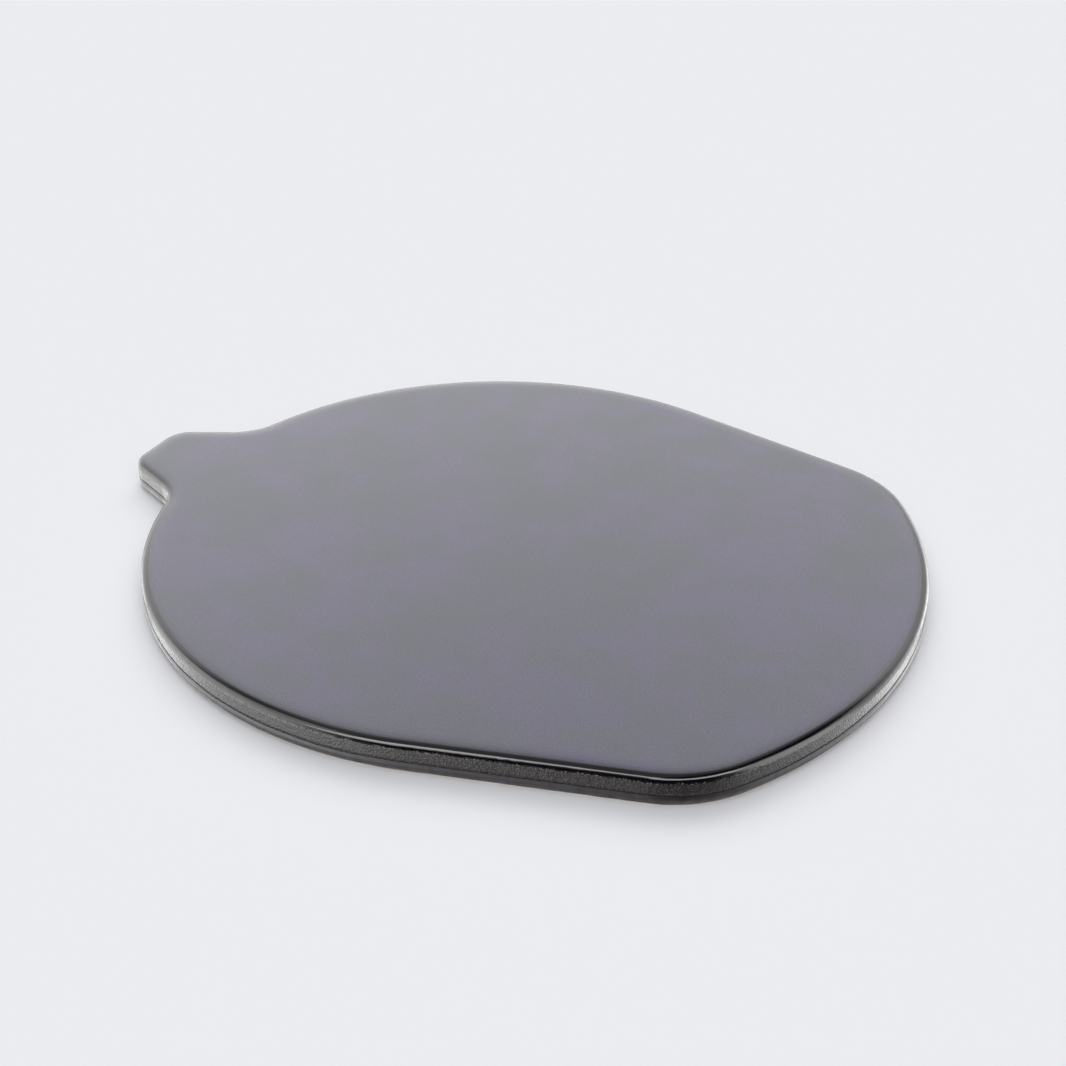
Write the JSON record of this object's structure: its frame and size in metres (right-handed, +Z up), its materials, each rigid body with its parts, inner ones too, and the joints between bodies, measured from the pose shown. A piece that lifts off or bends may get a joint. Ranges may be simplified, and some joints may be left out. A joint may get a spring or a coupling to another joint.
{
  "type": "pizza stone",
  "caption": "Flat baking slab for pizza with a round field, a narrowing blunt nose, a short flared grip tab and a rolled glazed rim.",
  "frame": {"origin": "centre of the round baking field, on the plane of the underside that the stone rests on", "axes": "+X along the mirror line towards the blunt nose, with the grip tab at -X; +Y across the stone; +Z up, out of the baking face"},
  "size_m": [0.4029, 0.33, 0.0155],
  "materials": {
    "bare_stoneware": "matte",
    "slate_glaze": "satin",
    "dipped_glaze": "gloss"
  },
  "bodies": {
    "root": {"stone_body": "bare_stoneware", "top_glaze": "slate_glaze", "base_glaze": "dipped_glaze"}
  },
  "joints": []
}
